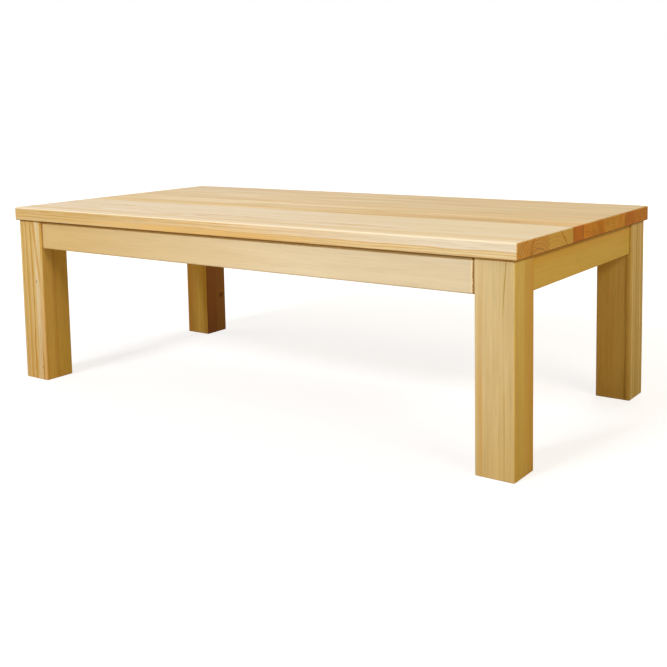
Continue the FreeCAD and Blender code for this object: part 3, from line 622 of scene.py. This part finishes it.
# Top: seven full-length pine boards of different widths, edge-glued, planed flush and lacquered. Only the
# outer arrises are rounded, so the boards read by their colour and by the arcs on their ends.
TOP_ARRIS = 3 * MM
UNDER_ARRIS = 1.5 * MM
EDGE_SLOPE = (0, 0.5, 0.866)
ON_THE_END = (0.998, 0.9995)
TOP_FINISH = {
    "cloud": (300, 16), "warm": 0.75, "fibre": 0.08, "mottle": 0.15,
    # A painted highlight on the upper arrises and painted shade on the lower ones
    "painted_arris_highlight": "#F6E9CC", "painted_under_shade": "#744818",
}
TOP_TIMBER = [
    {"heart": (0, 74, -36), "lean": (0, 0.3, 0.2), "ring": 5.0, "ripple": 4.0, "contrast": 0.5,
     "mottle": 0.03,
     "spring": "#E8DAC6", "summer": "#CDA05C", "honey": "#DFC99C", "tan": "#D2C09A", "soak": "#F4CF92",
     "end_rings": 0.66,
     "streaks": [
         {"at": (0, 0, 0), "across": (0, 1, 0), "wide": 8, "colour": "#E9BE70", "strength": 0.35,
          "whole": 0.8, "runs": (0.2, 0.45)},
         {"at": (0, 0, 0), "across": (0, 1, 0), "wide": 4, "colour": "#E6DECC", "strength": 0.9,
          "whole": 0.8, "runs": (0.55, 0.88)},
         {"at": (0, 0, 0), "across": (0, 1, 0), "wide": 8, "colour": "#D2B474", "strength": 0.9,
          "whole": 0.6, "runs": (0.55, 0.15)},
         {"at": (0, 0, 0.80), "across": EDGE_SLOPE, "wide": 1.3, "colour": "#B98A44", "strength": 0.6,
          "whole": 0.4, "runs": (0.4, 0.2)},
         {"at": (0, 0, 0.56), "across": EDGE_SLOPE, "wide": 1.3, "colour": "#B98A44", "strength": 0.6,
          "whole": 0.4, "runs": (0.35, 0.15)},
         {"at": (0, 0, 0.32), "across": EDGE_SLOPE, "wide": 1.3, "colour": "#B98A44", "strength": 0.6,
          "whole": 0.4, "runs": (0.3, 0.12)},
         {"at": (0, 0, 0), "across": EDGE_SLOPE, "wide": 12, "colour": "#E2BC74", "strength": 0.9,
          "soft": 0.3, "whole": 0.7, "runs": (0.08, 0.35)},
         {"at": (0, 0, 0), "across": EDGE_SLOPE, "wide": 12, "colour": "#E3D4AA", "strength": 0.9,
          "soft": 0.3, "whole": 0.8, "runs": (0.55, 0.88)},
         {"at": (0, 0, 0.90), "across": EDGE_SLOPE, "wide": 1.2, "colour": "#C6964E", "strength": 0.6,
          "whole": 0.4, "runs": (0.8, 0.5)},
         {"at": (0, 0, 0.70), "across": EDGE_SLOPE, "wide": 1.2, "colour": "#C6964E", "strength": 0.6,
          "whole": 0.4, "runs": (0.75, 0.5)},
         {"at": (0, 0, 0.42), "across": EDGE_SLOPE, "wide": 1.3, "colour": "#CC9C50", "strength": 0.6,
          "whole": 0.5, "runs": (0.2, 0.6)},
         {"at": (0, 0, 0.26), "across": EDGE_SLOPE, "wide": 1.2, "colour": "#CC9C50", "strength": 0.6,
          "whole": 0.4, "runs": (0.3, 0.7)},
         {"at": (0, 0, 0.08), "across": EDGE_SLOPE, "wide": 1.2, "colour": "#C89448", "strength": 0.6,
          "whole": 0.4, "runs": (0.2, 0.6)},
         {"at": (0, 0.28, 1), "across": (0, 1, 0), "wide": 14, "colour": "#DAB878", "strength": 0.5,
          "whole": 0.2},
         {"at": (1, 0.46, 0.5), "across": (0, 0.9, -0.44), "wide": 5, "colour": "#C79A5C", "strength": 0.8,
          "whole": 0.7, "runs": ON_THE_END},
     ]},
    {"heart": (0, 20, -56), "lean": (0, 0.3, 0.2), "ring": 4.6, "contrast": 0.4, "mottle": 0.03,
     "spring": "#E6D7C1", "summer": "#CDA460", "honey": "#DFCAA0", "tan": "#D2C09A",
     "soak": "#F2DC96", "end_rings": 0.9,
     "streaks": [
         {"at": (1, 0.63, 0.5), "across": (0, 0.7, 0.7), "wide": 2.4, "colour": "#B88848", "strength": 0.8,
          "whole": 0.7, "runs": ON_THE_END},
     ]},
    {"heart": (0, 23, -90), "lean": (0, 0.3, 0.2), "ring": 4.0, "contrast": 0.5,
     "spring": "#E2C99B", "summer": "#BE8C44", "honey": "#D4AE6C", "tan": "#B8965C",
     "soak": "#DEAA6E", "end_rings": 1.0,
     "streaks": [
         {"at": (0, 0.5, 1), "across": (0, 1, 0), "wide": 22, "colour": "#D8AC68", "strength": 0.6,
          "whole": 0.7, "runs": (0.86, 0.95)},
     ],
     "marks": [
         {"at": (0.903, 0.43, 1), "size": (13, 5, 3), "colour": "#B07C38", "strength": 0.8},
     ]},
    {"heart": (0, 0, -60), "lean": (0, 0.4, 0.3), "ring": 5.0, "contrast": 0.5,
     "spring": "#E5D1AF", "summer": "#C4985A", "honey": "#DABE88", "tan": "#BCA26C",
     "soak": "#F2C678", "end_rings": 0.94,
     "streaks": [
         {"at": (0, 0, 1), "across": (0, 1, 0), "wide": 60, "colour": "#DCB474", "strength": 0.6,
          "soft": 1.0, "whole": 0.8, "runs": (0.45, 0.9)},
         {"at": (0, 0.86, 1), "across": (0, 1, 0), "wide": 11, "colour": "#CDA468", "strength": 0.6,
          "whole": 0.4},
         {"at": (1, 0.75, 0.5), "across": (0, 0.8, 0.6), "wide": 16, "colour": "#C09456", "strength": 0.5,
          "whole": 0.7, "runs": ON_THE_END},
     ]},
    {"heart": (0, 40, 80), "lean": (0, 0.3, 0.2), "ring": 5.0, "contrast": 0.45,
     "spring": "#E2CFAF", "summer": "#C49A58", "honey": "#D4B884", "tan": "#BCA26C",
     "soak": "#FAD686", "end_rings": 0.94,
     "streaks": [
         {"at": (1, 0.78, 0.5), "across": (0, 0.8, -0.6), "wide": 9, "colour": "#C8906A", "strength": 0.6,
          "whole": 0.2, "runs": ON_THE_END},
     ]},
    {"heart": (0, 30, -70), "lean": (0, 0.3, 0.2), "ring": 4.4, "contrast": 0.45,
     "spring": "#DFCCAC", "summer": "#C49A58", "honey": "#D2B480", "tan": "#BCA26C",
     "soak": "#E6AC6C", "end_rings": 1.0},
    {"heart": (0, 60, 70), "lean": (0, 0.3, 0.2), "ring": 4.8, "contrast": 0.45,
     "spring": "#DCC9AA", "summer": "#C49A58", "honey": "#D0B07C", "tan": "#BCA26C",
     "soak": "#F6C07C", "end_rings": 0.94,
     "streaks": [
         {"at": (1, 0.95, 0.1), "across": (0, 0.7, -0.7), "wide": 8, "colour": "#A87040", "strength": 0.7,
          "whole": 0.6, "runs": ON_THE_END},
     ]},
]
for number, timber in enumerate(TOP_TIMBER, start=1):
    node = f"top_board_{number}"
    low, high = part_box(node)
    shape = plane_stick(low, high)
    shown = ["left", "right"]
    if number == 1:
        shown.append("front")
    if number == len(TOP_TIMBER):
        shown.append("back")
    ease(shape, shown + ["upper"], TOP_ARRIS, ARRIS_STEPS)
    ease(shape, shown, UNDER_ARRIS, ARRIS_STEPS, rim="under")
    tanned = {
        "at": (0, 1, 1), "across": (0, -0.3, 1), "wide": 36, "colour": timber["tan"], "strength": 0.75,
        "soft": 0.3, "whole": 0.8, "runs": (0.4, 1.0)}
    timber["streaks"] = [tanned] + timber.get("streaks", [])
    set_in_place(node, shape, pine(node, low, high, ALONG, TOP_FINISH | timber))

# Floor: a wide sheet of pale sand-coloured paper. It is drawn white where the camera or a reflection sees
# it, and keeps the shadow that the table throws on it.
FLOOR_REACH = 30
GLOW_STARTS = 0.7
GLOW_FULL = 2.4
GLOW_AT_TABLE = 0.76
WHITE = linear("#FFFFFF")
floor_shape = bmesh.new()
bmesh.ops.create_grid(floor_shape, x_segments=1, y_segments=1, size=FLOOR_REACH)
floor_mesh = bpy.data.meshes.new("floor")
floor_shape.to_mesh(floor_mesh)
floor_shape.free()
floor = bpy.data.objects.new("floor", floor_mesh)
bpy.context.scene.collection.objects.link(floor)
paper = bpy.data.materials.new("pale paper")
paper.use_nodes = True
tree = paper.node_tree
tree.nodes.clear()
place = add(tree, "ShaderNodeTexCoord", {}).outputs["Object"]
away = add(tree, "ShaderNodeVectorMath", {0: place}, operation="LENGTH").outputs["Value"]
glow = add(tree, "ShaderNodeMapRange", {
    "Value": away, "From Min": GLOW_STARTS, "From Max": GLOW_FULL, "To Min": GLOW_AT_TABLE}).outputs[0]
white = add(tree, "ShaderNodeEmission", {"Color": WHITE, "Strength": glow}).outputs[0]
shaded = add(tree, "ShaderNodeBsdfDiffuse", {"Color": linear("#9E9E9E")}).outputs[0]
seen = add(tree, "ShaderNodeAddShader", {0: white, 1: shaded}).outputs[0]
sand = add(tree, "ShaderNodeBsdfDiffuse", {"Color": linear("#C6AF80")}).outputs[0]
path = add(tree, "ShaderNodeLightPath", {}).outputs
direct = add(tree, "ShaderNodeMath", {
    0: path["Is Camera Ray"], 1: path["Is Glossy Ray"]}, operation="MAXIMUM").outputs[0]
direct = add(tree, "ShaderNodeMath", {
    0: direct, 1: path["Is Transmission Ray"]}, operation="MAXIMUM").outputs[0]
either = add(tree, "ShaderNodeMixShader", {0: direct, 1: sand, 2: seen}).outputs[0]
add(tree, "ShaderNodeOutputMaterial", {"Surface": either})
floor_mesh.materials.append(paper)

# Studio: a white surround that only the camera and reflections see at full strength, a wide soft lamp at
# the front, a weaker warm one at the right, one high behind for the back and the top, and one at the left.
AMBIENT = 0.12
AIM = Vector((0, 0, 0.25))
LAMPS = {
    "key": {"from": (-0.133, -0.838, 0.530), "distance": 6.0, "power": 250, "size": (1.5, 0.8),
            "tint": (0.95, 0.99, 1.06)},
    "fill": {"from": (0.779, -0.253, 0.574), "distance": 5.0, "power": 100, "size": (2.4, 1.0),
             "tint": (1.0, 0.84, 0.54)},
    "back": {"from": (0, 0.766, 0.643), "distance": 5.0, "power": 95, "size": (2.4, 2.4),
             "tint": (1.0, 0.98, 0.94)},
    "side": {"from": (-0.857, -0.119, 0.500), "distance": 5.0, "power": 40, "size": (2.4, 2.4),
             "tint": (1.0, 0.98, 0.94)},
}
studio = bpy.data.worlds.new("studio")
bpy.context.scene.world = studio
studio.use_nodes = True
tree = studio.node_tree
tree.nodes.clear()
path = add(tree, "ShaderNodeLightPath", {}).outputs
direct = add(tree, "ShaderNodeMath", {
    0: path["Is Camera Ray"], 1: path["Is Glossy Ray"]}, operation="MAXIMUM").outputs[0]
direct = add(tree, "ShaderNodeMath", {
    0: direct, 1: path["Is Transmission Ray"]}, operation="MAXIMUM").outputs[0]
level = add(tree, "ShaderNodeMapRange", {"Value": direct, "To Min": AMBIENT, "To Max": 1.0}).outputs[0]
hue = add(tree, "ShaderNodeMix", {
    "Factor": direct, "A": linear("#FFE2B6"), "B": WHITE}, data_type="RGBA").outputs["Result"]
surround = add(tree, "ShaderNodeBackground", {"Color": hue, "Strength": level}).outputs[0]
add(tree, "ShaderNodeOutputWorld", {"Surface": surround})
for name, lamp in LAMPS.items():
    way = Vector(lamp["from"])
    light = bpy.data.lights.new(name, "AREA")
    light.shape = "RECTANGLE"
    light.energy = lamp["power"]
    light.size, light.size_y = lamp["size"]
    light.color = lamp["tint"]
    stand = bpy.data.objects.new(name, light)
    stand.location = AIM + way * lamp["distance"]
    stand.rotation_euler = (-way).to_track_quat("-Z", "Y").to_euler()
    bpy.context.scene.collection.objects.link(stand)

# Camera: off the front right corner and a little above the top, as the photograph was taken. Upright edges
# stay upright in it, so the lens is shifted down, as far as views from other sides have room for.
LENS = 54.6
SENSOR = 36
SHIFT = -0.18
STANDPOINT = (1.2563, -1.6865, 0.5971)
HEADING = math.radians(35.67)
DIP = math.radians(6.313)
ROLL = math.radians(-1.077)
lens = bpy.data.cameras.new("camera")
lens.sensor_width = SENSOR
lens.lens = LENS
lens.shift_y = SHIFT
camera = bpy.data.objects.new("camera", lens)
turned = Matrix.Rotation(HEADING, 4, "Z")
dipped = Matrix.Rotation(math.pi / 2 - DIP, 4, "X")
rolled = Matrix.Rotation(ROLL, 4, "Z")
camera.matrix_world = Matrix.Translation(STANDPOINT) @ turned @ dipped @ rolled
bpy.context.scene.collection.objects.link(camera)
bpy.context.scene.camera = camera
bpy.context.scene.view_settings.view_transform = "Standard"
